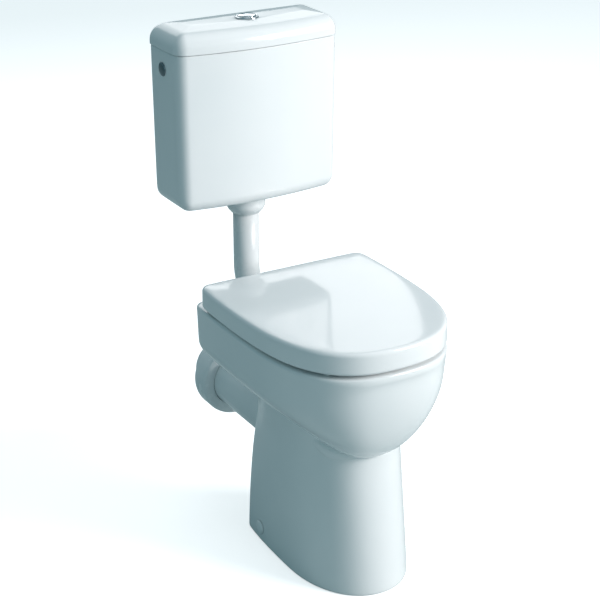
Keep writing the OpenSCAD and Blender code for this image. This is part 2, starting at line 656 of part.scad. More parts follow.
module flush_valve() color("steelblue") translate([0, pipe_y, 0]) difference() {
    union() {
        translate([0, 0, stub_z]) cylinder(r = stub_r, h = tower_z - stub_z + 2);
        translate([0, 0, tower_z]) cylinder(r = 36, h = 4);
        translate([0, 0, tower_z]) cylinder(r = tower_r, h = 66);
        translate([0, 0, tower_top - 6]) cylinder(r = 24, h = 6);
        for (s = [-1, 1]) translate([s * 21 - 2, -6, tower_z + 60]) cube([4, 12, tower_top - tower_z - 62]);
    }
    translate([0, 0, stub_z - 1]) cylinder(r = 22, h = 60);
    translate([0, 0, tower_z + 4.5]) cylinder(r = tower_r - 3, h = 58);
    translate([0, 0, tower_z + 50]) cylinder(r = tube_r + 1, h = tower_top);
    for (a = [45, 135]) rotate([0, 0, a]) translate([-50, -11, tower_z + 10]) cube([100, 22, 40]);
}

module valve_gasket() color("#303336")
    translate([0, pipe_y, tank_z + tank_wall + 0.1]) washer(35, stub_r + 0.2, 2);

module overflow_tube() color("whitesmoke") translate([0, pipe_y, tower_z + 6.6]) difference() {
    union() {
        cylinder(r = tube_r, h = tower_top - tower_z - 26);
        cylinder(r = 20, h = 3);
    }
    translate([0, 0, -1]) cylinder(r = tube_r - 2, h = tower_top - tower_z);
}

module valve_seal() color("firebrick") translate([0, pipe_y, tower_z + 4.5]) washer(26, tube_r - 2, 2);

// ---------- push buttons ----------

button_r = bezel_r - 4.6;
button_top = lid_top + 5;
web_z = lid_top - 24;                   // web that carries the springs
lid_under = lid_top - 6.5;              // ceiling of the lid
split = 3;                              // the full-flush button is the larger one
full_x = 6.5;
half_x = -11;
rod_r = 2;
rod_end = tower_top + 8;

module button_bezel() color("silver") difference() {
    translate([0, button_y, 0]) rotate_extrude() polygon([
        [0, web_z], [bezel_r - 2.4, web_z], [bezel_r - 2.4, lid_top], [bezel_r, lid_top],
        [bezel_r, lid_top + 1], [bezel_r - 0.6, lid_top + 2.2], [bezel_r - 2.2, lid_top + 2.8],
        [button_r + 0.4, lid_top + 2.2], [button_r + 0.4, web_z + 3], [0, web_z + 3]]);
    for (x = [full_x, half_x]) translate([x, button_y, web_z - 1]) cylinder(r = rod_r + hole_gap, h = 5);
}

module bezel_nut() color("white")
    translate([0, button_y, lid_under - 8.05]) washer(bezel_r + 4, bezel_r - 2.4 + run_gap, 8);

// One of the two domed buttons: the half with x above x0, or below it
module button(x0, side) intersection() {
    translate([0, button_y, 0]) rotate_extrude() polygon([
        [0, lid_top - 9], [button_r, lid_top - 9], [button_r, button_top - 1.8], [button_r - 1.2, button_top - 0.6],
        [button_r - 5, button_top + 0.6], [0, button_top + 1.4]]);
    translate([side > 0 ? x0 : x0 - 40, button_y - 30, lid_top - 30]) cube([40, 60, 60]);
}

module full_button() color("silver") button(-split + 0.2, 1);
module half_button() color("silver") button(-split - 0.2, -1);

module rod(x) translate([x, button_y, rod_end]) cylinder(r = rod_r, h = lid_top - 9 - rod_end);

module full_rod() color("whitesmoke") rod(full_x);
module half_rod() color("whitesmoke") rod(half_x);

// Compression spring about +Z from z0, as a tube swept round a helix
module spring(x, z0, h, coil_r = 3.4, wire_r = 0.45, turns = 5) translate([x, button_y, z0 + wire_r]) {
    per = 14;
    loft([for (i = [0:turns * per]) let(a = 360 * i / per, z = (h - 2 * wire_r) * i / (turns * per))
        [for (j = [0:7]) let(t = 360 * j / 8, r = coil_r + wire_r * cos(t))
            [r * cos(a), r * sin(a), z + wire_r * sin(t)]]]);
}

module full_spring() color("silver") spring(full_x, web_z + 3, lid_top - 12 - web_z);
module half_spring() color("silver") spring(half_x, web_z + 3, lid_top - 12 - web_z);

pan();
floor_brackets();
side_screws();
screw_sleeves();
screw_caps();
outlet_connector();
outlet_seal();
flush_cone();
flush_pipe();
flush_nut();
flush_washer();
seat_ring();
seat_cover();
seat_buffers();
cover_buffers();
hinge_posts();
hinge_pins();
hinge_studs();
hinge_washers();
hinge_wing_nuts();
cistern_body();
cistern_lid();
lid_pads();
side_plug();
side_plug_nut();
fill_valve();
fill_valve_nut();
fill_valve_washer();
fill_valve_pin();
float_arm();
float_cup();
flush_valve();
valve_gasket();
overflow_tube();
valve_seal();
button_bezel();
bezel_nut();
full_button();
half_button();
full_rod();
half_rod();
full_spring();
half_spring();
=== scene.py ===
# %% [markdown]
# # A toilet with a low-level cistern
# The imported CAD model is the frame: it holds every place, size and joint. This notebook gives the
# white ware its looks. The big smooth pieces are modelled again as fine skins, round pieces are
# spun, and everything else keeps its CAD mesh and gets a better finish.

# %% Load the frame
import json
import math

import bmesh
import bpy
from mathutils import Matrix, Vector


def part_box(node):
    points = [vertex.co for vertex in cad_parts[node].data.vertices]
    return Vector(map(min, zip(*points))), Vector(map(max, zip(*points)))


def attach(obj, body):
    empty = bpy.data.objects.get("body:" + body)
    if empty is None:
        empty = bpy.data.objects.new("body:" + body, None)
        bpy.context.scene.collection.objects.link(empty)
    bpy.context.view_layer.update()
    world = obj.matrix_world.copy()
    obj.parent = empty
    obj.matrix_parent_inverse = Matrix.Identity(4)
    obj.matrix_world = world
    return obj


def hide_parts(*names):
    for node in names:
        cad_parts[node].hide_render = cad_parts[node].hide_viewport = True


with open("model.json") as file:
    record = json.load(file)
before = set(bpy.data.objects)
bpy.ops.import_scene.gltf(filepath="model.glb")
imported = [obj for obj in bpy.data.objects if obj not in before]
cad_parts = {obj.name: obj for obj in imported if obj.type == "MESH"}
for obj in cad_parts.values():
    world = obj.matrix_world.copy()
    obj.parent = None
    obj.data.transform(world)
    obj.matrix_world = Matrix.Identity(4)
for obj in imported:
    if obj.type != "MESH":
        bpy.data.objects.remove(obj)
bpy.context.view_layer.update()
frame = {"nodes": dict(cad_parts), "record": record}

# %% [markdown]
# ## Places, in millimetres
# Sizes are easier to read in millimetres, so pieces are drawn in them and scaled to metres at the
# end. The places come from the boxes of the CAD nodes, so a changed design moves the skins too.

# %% Read the places
MM = 0.001


def span(node):
    """Lowest and highest corner of a CAD node, in millimetres."""
    low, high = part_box(node)
    return Vector(low) / MM, Vector(high) / MM


pan_low, pan_high = span("pan")
cone_low, cone_high = span("flush_cone")
cover_low, cover_high = span("seat_cover")
ring_low, ring_high = span("seat_ring")
tank_low, tank_high = span("cistern_body")
lid_low, lid_high = span("cistern_lid")
collar_low, collar_high = span("outlet_connector")
nut_low, nut_high = span("flush_nut")
pipe_low, pipe_high = span("flush_pipe")
pin_low, pin_high = span("hinge_pins")
bezel_low, bezel_high = span("button_bezel")
cap_low, cap_high = span("screw_caps")

rim_z = pan_high.z
pan_rear = cone_low.y + 22
outlet_z = (collar_low.z + collar_high.z) / 2
horn_z = (cone_low.z + cone_high.z) / 2
pipe_y = (nut_low.y + nut_high.y) / 2
button_y = (bezel_low.y + bezel_high.y) / 2
hinge_y, hinge_z = (pin_low.y + pin_high.y) / 2, (pin_low.z + pin_high.z) / 2
print("rim at", rim_z, "outlet at", outlet_z, "hinge at", hinge_y, hinge_z)

# %% [markdown]
# A few sizes can't be read from a box. They are those of the CAD design, by the same names.

# %% Sizes of the design
mid_y = -48                   # widest place of the outlines of pan, cover and seat
side_drop, skirt_drop = 71, 125
foot_half, foot_front, foot_rear, foot_top = 110, -274, 67, 250
bowl_half, bowl_rear = 121, pan_rear - 123
bowl_front = bowl_rear - 290
sump_y = -118                 # rear of the pool at the bottom of the bowl
ceramic = 9                   # wall of the casting
rim_corner = 22               # radius of the outlines' rear corners
hinge_pitch, post_width, lug_width = 155, 15, 11
tank_depth, tank_wall, tank_bow = 130, 4, 13
pipe_radius, pipe_bend, trap_bend = 25, 70, 48
neck_radius, spigot_radius, way_radius, trap_radius = 57, 51, 37, 45
print("bowl opening", 2 * bowl_half, "by", bowl_rear - bowl_front)

# %% [markdown]
# ## Shader maths as Python
# A finish is a small graph of nodes. Wrapping a socket in a class that knows + and * lets the graph
# be written as an expression. Every other node comes from one method, which sets the node's
# own settings first and then its sockets.

# %% Socket wrapper and finish builder


class Value:
    """A socket that carries a number, with Python's operators."""

    def __init__(self, finish, socket):
        self.finish, self.socket = finish, socket

    def maths(self, operation, a, b):
        return self.finish.node("ShaderNodeMath", {"operation": operation}, {0: a, 1: b})

    def __add__(self, other):
        return self.maths("ADD", self, other)

    def __mul__(self, other):
        return self.maths("MULTIPLY", self, other)

    __radd__ = __add__


class Finish:
    """A material with a Principled shader, built up in Object coordinates."""

    def __init__(self, name, **fixed):
        self.material = bpy.data.materials.new(name)
        self.material.use_nodes = True
        self.tree = self.material.node_tree
        self.shader = self.tree.nodes["Principled BSDF"]
        for socket, value in fixed.items():
            self.shader.inputs[socket.replace("_", " ")].default_value = value
        self.place = self.node("ShaderNodeTexCoord", {}, {}, "Object")

    def node(self, kind, settings, sockets, out=0):
        made = self.tree.nodes.new(kind)
        for key, value in settings.items():
            setattr(made, key, value)
        for key, value in sockets.items():
            if isinstance(value, Value):
                self.tree.links.new(value.socket, made.inputs[key])
            else:
                made.inputs[key].default_value = value
        return Value(self, made.outputs[out])

    def noise(self, scale, detail=3.0, stretch=(1, 1, 1)):
        at = self.node("ShaderNodeMapping", {}, {"Vector": self.place, "Scale": stretch})
        return self.node("ShaderNodeTexNoise", {}, {"Vector": at, "Scale": scale, "Detail": detail})

    def between(self, mask, low, high):
        """A number from low to high as mask goes from 0.3 to 0.7, where noise mostly lies."""
        return self.node("ShaderNodeMapRange", {"clamp": True},
                         {"Value": mask, "From Min": 0.3, "From Max": 0.7, "To Min": low, "To Max": high})

    def blend(self, mask, one, other):
        return self.node("ShaderNodeMix", {"data_type": "RGBA"}, {0: mask, 6: one, 7: other}, 2)

    def use(self, **links):
        for socket, value in links.items():
            self.tree.links.new(value.socket, self.shader.inputs[socket.replace("_", " ")])
        return self.material

    def bump(self, height, distance, strength=1.0):
        return self.node("ShaderNodeBump", {},
                         {"Height": height, "Distance": distance, "Strength": strength})


# %% [markdown]
# ## Finishes
# Glazed ware and polished plastic are both white and shiny, but not the same. A glaze is thick and
# slightly wavy, with a faint change of tone where it pooled. Moulded plastic is flatter and has a
# very fine orange peel. A plain white would look like paper, so each has its own wave, tone and
# gloss.

# %% White ware


def white_ware(name, one, other, gloss, wave, peel, coat=0.0, tone_scale=5.0):
    f = Finish(name, IOR=1.5, Coat_IOR=1.5, Coat_Roughness=0.04)
    tone = f.between(f.noise(tone_scale, 2.0), 0.0, 1.0)
    soft = f.noise(14.0, 1.0)
    fine = f.noise(900.0, 2.0)
    height = soft * wave + fine * peel
    dulled = f.between(f.noise(38.0, 4.0), gloss[0], gloss[1])
    f.shader.inputs["Coat Weight"].default_value = coat
    return f.use(Base_Color=f.blend(tone, (*one, 1), (*other, 1)), Roughness=dulled,
                 Normal=f.bump(height, 1.0))


glaze = white_ware("white_glaze", (0.86, 0.875, 0.875), (0.81, 0.835, 0.84),
                   (0.05, 0.11), 0.0005, 0.0, coat=0.3)
tank_plastic = white_ware("polished_cistern_plastic", (0.87, 0.88, 0.88), (0.83, 0.85, 0.855),
                          (0.13, 0.20), 0.0002, 0.0000006)
seat_plastic = white_ware("polished_seat_plastic", (0.88, 0.89, 0.89), (0.85, 0.865, 0.87),
                          (0.07, 0.12), 0.00015, 0.0000003, coat=0.2)
pipe_plastic = white_ware("smooth_pipe_plastic", (0.85, 0.865, 0.865), (0.80, 0.825, 0.83),
                          (0.20, 0.30), 0.0002, 0.000001, tone_scale=11.0)
cap_plastic = white_ware("smooth_cap_plastic", (0.88, 0.89, 0.89), (0.84, 0.85, 0.85),
                         (0.20, 0.28), 0.0001, 0.000001, tone_scale=60.0)
print("white finishes made:", glaze.name, tank_plastic.name, seat_plastic.name)

# %% [markdown]
# Plated metal is a mirror with a trace of polishing marks, so its roughness changes over fine
# stretched noise. Rubber and inner mouldings are dull, with a pebbled skin and a little dust.

# %% Metal, rubber and inner mouldings


def plated(name, bright, dark, gloss, stretch):
    f = Finish(name, Metallic=1.0)
    marks = f.between(f.noise(160.0, 4.0, stretch), 0.0, 1.0)
    cloud = f.between(f.noise(25.0, 2.0), 0.0, 1.0)
    return f.use(Base_Color=f.blend(cloud, (*bright, 1), (*dark, 1)),
                 Roughness=gloss[0] + marks * (gloss[1] - gloss[0]),
                 Normal=f.bump(marks, 0.0000006))


def moulded(name, one, other, gloss, pebble):
    f = Finish(name, IOR=1.47)
    cloud = f.between(f.noise(18.0, 3.0), 0.0, 1.0)
    grain = f.noise(700.0, 2.0)
    return f.use(Base_Color=f.blend(cloud, (*one, 1), (*other, 1)),
                 Roughness=f.between(f.noise(60.0, 3.0), gloss[0], gloss[1]),
                 Normal=f.bump(grain, pebble))


chrome = plated("polished_chrome", (0.66, 0.69, 0.71), (0.55, 0.58, 0.60), (0.06, 0.14), (1, 6, 1))
dark_chrome = plated("dark_chrome", (0.26, 0.31, 0.33), (0.18, 0.22, 0.24), (0.10, 0.2), (6, 1, 1))
zinc = plated("zinc_plate", (0.62, 0.63, 0.64), (0.50, 0.51, 0.52), (0.28, 0.42), (1, 1, 5))
SATIN = (0.35, 0.5)
FINISHES = {
    "glazed_ceramic": glaze,
    "cistern_plastic": tank_plastic,
    "seat_plastic": seat_plastic,
    "pipe_plastic": pipe_plastic,
    "cap_plastic": cap_plastic,
    "fixing_plastic": moulded("white_fixing_plastic", (0.74, 0.75, 0.75), (0.68, 0.69, 0.69), SATIN,
                              0.00002),
    "valve_plastic": moulded("grey_valve_plastic", (0.70, 0.72, 0.73), (0.62, 0.64, 0.66), SATIN, 0.00002),
    "cage_plastic": moulded("blue_cage_plastic", (0.10, 0.22, 0.40), (0.07, 0.17, 0.33), SATIN, 0.00002),
    "float_plastic": moulded("pale_float_plastic", (0.42, 0.53, 0.64), (0.36, 0.47, 0.58), (0.3, 0.45),
                             0.00002),
    "seal_rubber": moulded("black_rubber", (0.022, 0.023, 0.025), (0.035, 0.036, 0.038), (0.5, 0.7), 0.00004),
    "red_rubber": moulded("red_rubber", (0.42, 0.05, 0.04), (0.34, 0.035, 0.03), (0.45, 0.6), 0.00004),
    "buffer_rubber": moulded("pale_rubber", (0.62, 0.63, 0.62), (0.55, 0.56, 0.56), (0.45, 0.6), 0.00003),
    "hinge_chrome": chrome,
    "plug_chrome": dark_chrome,
    "button_chrome": chrome,
    "screw_steel": zinc,
}
for part in frame["record"]["subparts"]:
    slots = frame["nodes"][part["node"]].material_slots
    for held in slots:
        held.material = FINISHES[part["material_slot"]]

# %% [markdown]
# ## Making a piece
# Each new piece starts as a bmesh in millimetres. One function turns it into an object in metres,
# with its place in its mesh. Another hangs it on the empty of the body that carries it, hides the
# CAD node it stands for and paints it with the finish of that node's slot.

# %% Finish a bmesh as a piece
BODY_OF = {node: body for body, nodes in frame["record"]["behaviour"]["bodies"].items() for node in nodes}
SLOT_OF = {part["node"]: part["material_slot"] for part in frame["record"]["subparts"]}


def to_mesh(bm, name):
    bmesh.ops.remove_doubles(bm, verts=bm.verts, dist=0.001)
    bmesh.ops.recalc_face_normals(bm, faces=bm.faces)
    bmesh.ops.scale(bm, vec=(MM, MM, MM), verts=bm.verts)
    mesh = bpy.data.meshes.new(name)
    bm.to_mesh(mesh)
    bm.free()
    made = bpy.data.objects.new(name, mesh)
    bpy.context.scene.collection.objects.link(made)
    return made


def smooth(made, levels=0, sharp=40):
    """Round the cage off with subdivision, and shade smoothly except over sharp edges."""
    if levels:
        rounding = made.modifiers.new("rounding", "SUBSURF")
        rounding.levels = rounding.render_levels = levels
    made.data.shade_smooth()
    if sharp:
        made.data.set_sharp_from_angle(angle=math.radians(sharp))


def settle(made):
    """Turn the modifiers' result into the mesh itself."""
    graph = bpy.context.evaluated_depsgraph_get()
    mesh = bpy.data.meshes.new_from_object(made.evaluated_get(graph))
    made.modifiers.clear()
    made.data = mesh


def block(bm, low, high, radius):
    """A box with rounded edges, as a cutting tool."""
    size = [b - a for a, b in zip(low, high)]
    middle = [(a + b) / 2 for a, b in zip(low, high)]
    made = bmesh.ops.create_cube(bm, size=1, matrix=Matrix.LocRotScale(middle, None, size))
    edges = list({e for v in made["verts"] for e in v.link_edges})
    bmesh.ops.bevel(bm, geom=edges, offset=radius, offset_type="OFFSET", segments=4, profile=0.5,
                    affect="EDGES", clamp_overlap=True, material=-1)


def carve(made, bm, sharp=35):
    """Cut the tool in bm out of a piece, and keep the cut's edges crisp."""
    tool = to_mesh(bm, "tool")
    trim = made.modifiers.new("carve", "BOOLEAN")
    trim.operation, trim.object, trim.solver = "DIFFERENCE", tool, "EXACT"
    settle(made)
    bpy.data.objects.remove(tool)
    made.data.shade_smooth()
    made.data.set_sharp_from_angle(angle=math.radians(sharp))


def declare(made, *nodes):
    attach(made, BODY_OF[nodes[0]])
    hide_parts(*nodes)
    made.data.materials.clear()
    made.data.materials.append(FINISHES[SLOT_OF[nodes[0]]])
    print(made.name, "for", nodes, len(made.data.polygons), "faces")


# %% [markdown]
# ## Skins from outlines
# A pan or a cistern is a stack of level outlines. The first outline is a loop of edges, and each
# next one is that loop extruded and moved to its new place, so the faces run evenly and
# subdivision can round them. Outlines all have the same number of points.

# %% Outlines


def arc(cx, cy, r, start, end, count):
    angles = [math.radians(start + (end - start) * i / count) for i in range(count + 1)]
    return [(cx + r * math.cos(a), cy + r * math.sin(a)) for a in angles]


def power(value, exponent):
    return math.copysign(abs(value) ** exponent, value)


def d_shape(half, front, rear, mid, n, corner, taper=0.0):
    """D-shaped outline: a round front, nearly straight sides and a squarer rear."""
    back = half - taper
    shares = (0.75, 0.5, 0.25)
    reach = (rear - corner - mid) / (rear - mid)
    left = [(-half + taper * (u * reach) ** 2, mid + u * (rear - corner - mid)) for u in shares]
    front_half = []
    for i in range(17):
        t = math.pi + math.pi * i / 16
        front_half.append((half * power(math.cos(t), 2 / n), mid + (mid - front) * power(math.sin(t), 2 / n)))
    right = [(-x, y) for x, y in reversed(left)]
    return (arc(back - corner, rear - corner, corner, 0, 90, 4)
            + arc(-back + corner, rear - corner, corner, 90, 180, 4) + left + front_half + right)


def level(outline, z, front_z=None, mid=0.0, front=-1.0, fall=1.0):
    """The outline at height z; its height may change towards the front, to front_z."""
    points = []
    for x, y in outline:
        share = min(1.0, max(0.0, (y - mid) / (front - mid)))
        points.append((x, y, z if front_z is None else z + (front_z - z) * share ** fall))
    return points


# %% Extruding outline after outline


def loop_of(bm, points):
    verts = [bm.verts.new(p) for p in points]
    return verts, [bm.edges.new((verts[i - 1], verts[i])) for i in range(len(verts))]


def skin(bm, rings, joined=False):
    """Extrude from ring to ring; close both ends, or join the last ring to the first."""
    verts, edges = loop_of(bm, rings[0])
    first = edges
    for ring in rings[1:]:
        grown = bmesh.ops.extrude_edge_only(bm, edges=edges)["geom"]
        twin = {tuple(v.co): v for v in grown if isinstance(v, bmesh.types.BMVert)}
        verts = [twin[tuple(v.co)] for v in verts]
        for vert, point in zip(verts, ring):
            vert.co = point
        edges = [bm.edges.get((verts[i - 1], verts[i])) for i in range(len(verts))]
    if joined:
        bmesh.ops.bridge_loops(bm, edges=first + edges)
    else:
        bmesh.ops.contextual_create(bm, geom=first)
        bmesh.ops.contextual_create(bm, geom=edges)


# %% [markdown]
# ## The pan
# The casting is two skins that meet in a crease: a bowl with a skirt that falls towards the front,
# and a foot that runs up into it. The skirt turns under in a quarter round, and its underside
# dives inwards to the foot. Inside is the bowl's own hollow, which narrows to a pool at the
# bottom. Both skins have a real wall, because the foot is open below and the seat lifts.

# %% Bowl, skirt and hollow
EDGE = 21                     # how far below the rim the skirt's side reaches at the front


def rim_outline(half, front, rear, squareness=2.8):
    return d_shape(half, front, rear, mid_y, squareness, rim_corner, 3)


def bowl_rings():
    """Rings from under the skirt, round its edge and up to the rim."""
    half, front, rear = pan_high.x, pan_low.y, pan_rear
    under, under_front, under_rear = foot_half - 18, foot_front + 54, foot_rear - 5
    rings = []
    for i in range(10, -1, -1):
        turn = math.radians(9 * i)
        c, s = math.cos(turn), math.sin(turn)
        f = under_front + (front + 4 - under_front) * c
        outline = rim_outline(under + (half - 2 - under) * c, f, under_rear + (rear - under_rear) * c,
                              2.8 - 0.4 * (1 - c))
        side_z = rim_z - side_drop - (skirt_drop - side_drop) * s
        front_z = rim_z - EDGE - (rim_z - EDGE - foot_top - 10) * s
        rings.append(level(outline, side_z, front_z, mid_y, f, 2.4))
    for inset, drop in ((0.4, 14), (0, 9), (0, 5), (1.2, 1.6), (4, 0.1), (8, 0)):
        rings.append(level(rim_outline(half - inset, front + inset, rear - inset), rim_z - drop))
    return rings


def hollow_rings(grow):
    """The bowl's hollow from the rim to the pool; grow moves it out, for the wall's far side."""
    half, front, rear, pool = bowl_half, bowl_front, bowl_rear, sump_y
    rows = [(0, half + 5, front - 5, rear + 5), (0.3, half + 2, front - 2, rear + 2),
            (4, half - 1, front, rear), (20, half, front - 1, rear),
            (60, half - 3, front + 4, rear - 4), (110, half - 15, front + 18, rear - 50),
            (128, half - 24, front + 26, pool + 46), (164, 88, front + 36, pool + 12),
            (199, 68, front + 56, pool + 2), (227, 56, pool - 84, pool),
            (271, 52, pool - 78, pool), (307, 46, pool - 72, pool - 4), (325, 24, pool - 56, pool - 14)]
    rings = []
    for drop, a, f, r in rows:
        a, f, r = a + grow, f - grow, r + grow
        corner = min(a * 0.75, (r - f) / 3)
        rings.append(level(d_shape(a, f, r, (f + r) / 2 + 4, 2.3, corner), rim_z - drop - grow))
    return rings


bm = bmesh.new()
outside = bowl_rings()
inside = hollow_rings(0)
below_skirt = 7               # the far side of the wall only shows from this row down
wall_side = hollow_rings(ceramic)[below_skirt:]
skin(bm, list(reversed(wall_side)) + outside + inside)
bowl = to_mesh(bm, "pan_bowl")
smooth(bowl, levels=3, sharp=0)


def pair_of_blocks(near, far, rear, front, low, high, radius):
    """Two cutting blocks, one each side of the centre plane."""
    bm = bmesh.new()
    for start, end in ((near, far), (-far, -near)):
        block(bm, (start, rear, low), (end, front, high), radius)
    return bm


nut_access = pair_of_blocks(48, 128, foot_rear + 10, foot_rear + 54, rim_z - 157, rim_z - 93, 8)
for x in (-15, 0, 15):
    block(nut_access, (x - 4, bowl_rear - 20, horn_z - 12), (x + 4, bowl_rear + 22, horn_z + 12), 3.9)
carve(bowl, nut_access)
carve(bowl, pair_of_blocks(56, 99, hinge_y - 20, hinge_y + 20, rim_z - 110, rim_z - 29, 6))
declare(bowl, "pan")

# %% [markdown]
# The foot is a tapering shell, open below. It starts at its ceiling, runs down inside, turns over
# the narrow rim that stands on the floor, and climbs on the outside into the bowl.

# %% Foot


def foot_ring(share, inset):
    v = min(share, 1.0)
    outline = d_shape(foot_half - 9 * v - inset, foot_front + 33 * v + inset, foot_rear - inset,
                      sump_y + 20 * v, 2.1 + 0.2 * v, 18, 8.4 + 14 * v ** 3)
    return level(outline, share * foot_top)


bm = bmesh.new()
inner = [foot_ring(s, ceramic) for s in (1.1, 1.05, 0.85, 0.6, 0.3, 0.02)]
tread = [foot_ring(0.002, ceramic - 2), foot_ring(0.0, ceramic / 2), foot_ring(0.002, 2),
         foot_ring(0.012, 0.2)]
outer = [foot_ring(s, 0) for s in (0.04, 0.2, 0.35, 0.5, 0.65, 0.75, 0.85, 0.93, 1, 1.1, 1.25, 1.36)]
skin(bm, inner + tread + outer)
foot = to_mesh(bm, "pan_foot")
smooth(foot, levels=3, sharp=0)
declare(foot, "pan")

# %% [markdown]
# The waterway leaves the pool, climbs over a weir that keeps water in the pool, and falls to the
# straight outlet. A disc is extruded along the straights and spun round the bends, so the tube
# keeps its roundness. It shows behind the foot and from below.

# %% Waterway and outlet


def tube_start(bm, radius, y, z, segments):
    facing_y = Matrix.Rotation(math.radians(90), 4, "X")
    place = Matrix.Translation((0, y, z)) @ facing_y
    bmesh.ops.create_circle(bm, cap_ends=False, segments=segments, radius=radius, matrix=place)
    return bm.edges[:]


def run_on(bm, edges, move):
    grown = bmesh.ops.extrude_edge_only(bm, edges=edges)["geom"]
    verts = [v for v in grown if isinstance(v, bmesh.types.BMVert)]
    bmesh.ops.translate(bm, vec=move, verts=verts)
    return [e for e in grown if isinstance(e, bmesh.types.BMEdge) and all(v in verts for v in e.verts)]


def bend_on(bm, edges, pivot, degrees, steps):
    verts = list({v for e in edges for v in e.verts})
    spun = bmesh.ops.spin(bm, geom=verts + edges, cent=pivot, axis=(1, 0, 0), dvec=(0, 0, 0),
                          angle=math.radians(degrees), steps=steps, use_duplicate=False)
    return [e for e in spun["geom_last"] if isinstance(e, bmesh.types.BMEdge)]


def resize(bm, edges, ratio):
    verts = list({v for e in edges for v in e.verts})
    bmesh.ops.scale(bm, vec=(ratio, 1, ratio), verts=verts, space=Matrix.Translation((0, 0, -outlet_z)))


bm = bmesh.new()
dip_z = outlet_z - 22
weir_z = outlet_z + trap_bend
lead = 20                     # straight lengths before and after the bends
edges = tube_start(bm, trap_radius, sump_y - lead, dip_z, 48)
edges = run_on(bm, edges, (0, lead, 0))
edges = bend_on(bm, edges, (0, sump_y, dip_z + trap_bend), 90, 8)
edges = run_on(bm, edges, (0, 0, weir_z - dip_z - trap_bend))
edges = bend_on(bm, edges, (0, sump_y + 2 * trap_bend, weir_z), -180, 16)
edges = bend_on(bm, edges, (0, sump_y + 4 * trap_bend, weir_z), 90, 8)
edges = run_on(bm, edges, (0, lead, 0))
resize(bm, edges, neck_radius / trap_radius)
spigot_start, spigot_end = collar_low.y + 2, collar_high.y - 58
edges = run_on(bm, edges, (0, spigot_start - (sump_y + 4 * trap_bend + lead), 0))
for radius, ahead in ((spigot_radius, 0), (spigot_radius, spigot_end - spigot_start),
                      (way_radius, 0), (way_radius, -120)):
    edges = run_on(bm, edges, (0, ahead + 0.01, 0))
    at = max(math.hypot(v.co.x, v.co.z - outlet_z) for e in edges for v in e.verts)
    resize(bm, edges, radius / at)
outlet = to_mesh(bm, "pan_outlet")
smooth(outlet, sharp=50)
declare(outlet, "pan")

# %% [markdown]
# ## Turned pieces
# A profile is drawn as a wire, its corners are rounded with a bevel, and a full spin turns it. The
# first number of each point is the radius and the second runs along the axis.

# %% Turn a profile


def turned(bm, profile, centre, axis="Z", closed=True, rounding=0.0, steps=64):
    verts = [bm.verts.new((r, 0, z)) for r, z in profile]
    pairs = zip(verts, verts[1:] + verts[:1] if closed else verts[1:])
    edges = [bm.edges.new(pair) for pair in pairs]
    if rounding:
        corners = [v for v in verts if v.co.x > 0.01]
        bmesh.ops.bevel(bm, geom=corners, offset=rounding, offset_type="OFFSET", segments=4, profile=0.5,
                        affect="VERTICES", clamp_overlap=True, material=-1)
    wire = [v for v in bm.verts if not v.link_faces] + [e for e in bm.edges if not e.link_faces]
    bmesh.ops.spin(bm, geom=wire, cent=(0, 0, 0), axis=(0, 0, 1), dvec=(0, 0, 0),
                   angle=2 * math.pi, steps=steps, use_merge=True, use_duplicate=False)
    turn = {"X": Matrix.Rotation(math.radians(90), 3, "Y"),
            "Y": Matrix.Rotation(math.radians(-90), 3, "X"),
            "Z": Matrix.Identity(3)}[axis]
    bmesh.ops.rotate(bm, cent=(0, 0, 0), matrix=turn, verts=bm.verts)
    bmesh.ops.translate(bm, vec=centre, verts=bm.verts)
    return bm


def turned_piece(name, profile, centre, node, axis="Z", rounding=0.0, steps=64):
    made = to_mesh(turned(bmesh.new(), profile, centre, axis, True, rounding, steps), name)
    smooth(made, sharp=35)
    declare(made, node)
    return made


# %% [markdown]
# The collar that joins the outlet to the soil pipe is a plain white drum with a soft front edge.
# Its tail goes into the wall.

# %% Outlet connector
drum, tail = 47, collar_high.y - collar_low.y
turned_piece("outlet_collar", [
    (57.6, 0), (70, 0), (76, 2.5), (79, 8), (79, drum - 3), (76, drum), (55, drum), (55, tail),
    (51, tail), (51, drum - 4), (63, drum - 4), (63, 6), (57.6, 6)],
    (0, collar_low.y, outlet_z), "outlet_connector", "Y", 1.4, 96)

# %% [markdown]
# The nut under the cistern is a smooth bell that narrows onto the flush pipe, and a black rubber
# cone seals the pipe in the pan.

# %% Flush nut and rubber cone
top, step, round_r = nut_high.z, nut_high.z - 22.8, nut_high.x
grip = pipe_radius + 0.05     # where rubber grips the pipe
turned_piece("flush_nut_bell", [
    (29.1, top), (round_r - 1.5, top), (round_r, top - 2), (round_r, step + 1),
    (round_r - 1, step - 4), (round_r - 3.5, step - 9), (round_r - 7.5, step - 13.5),
    (27.5, step - 17), (25.4, step - 17), (25.4, step - 15), (29.6, step - 11), (29.6, step - 1)],
    (0, pipe_y, 0), "flush_nut", "Z", 0.8, 80)
turned_piece("flush_cone_rubber", [
    (grip, 0), (28.6, 0), (29.6, 12), (29.6, 22.3), (36, 22.3), (36, 25), (31, 32), (28, 38), (grip, 38)],
    (0, cone_low.y, horn_z), "flush_cone", "Y", 0.7, 64)

# %% [markdown]
# The flush pipe drops from the nut and turns forward into the pan. A circle is extruded along the
# straights and spun round the bend, and then gets its wall from a solidify modifier.

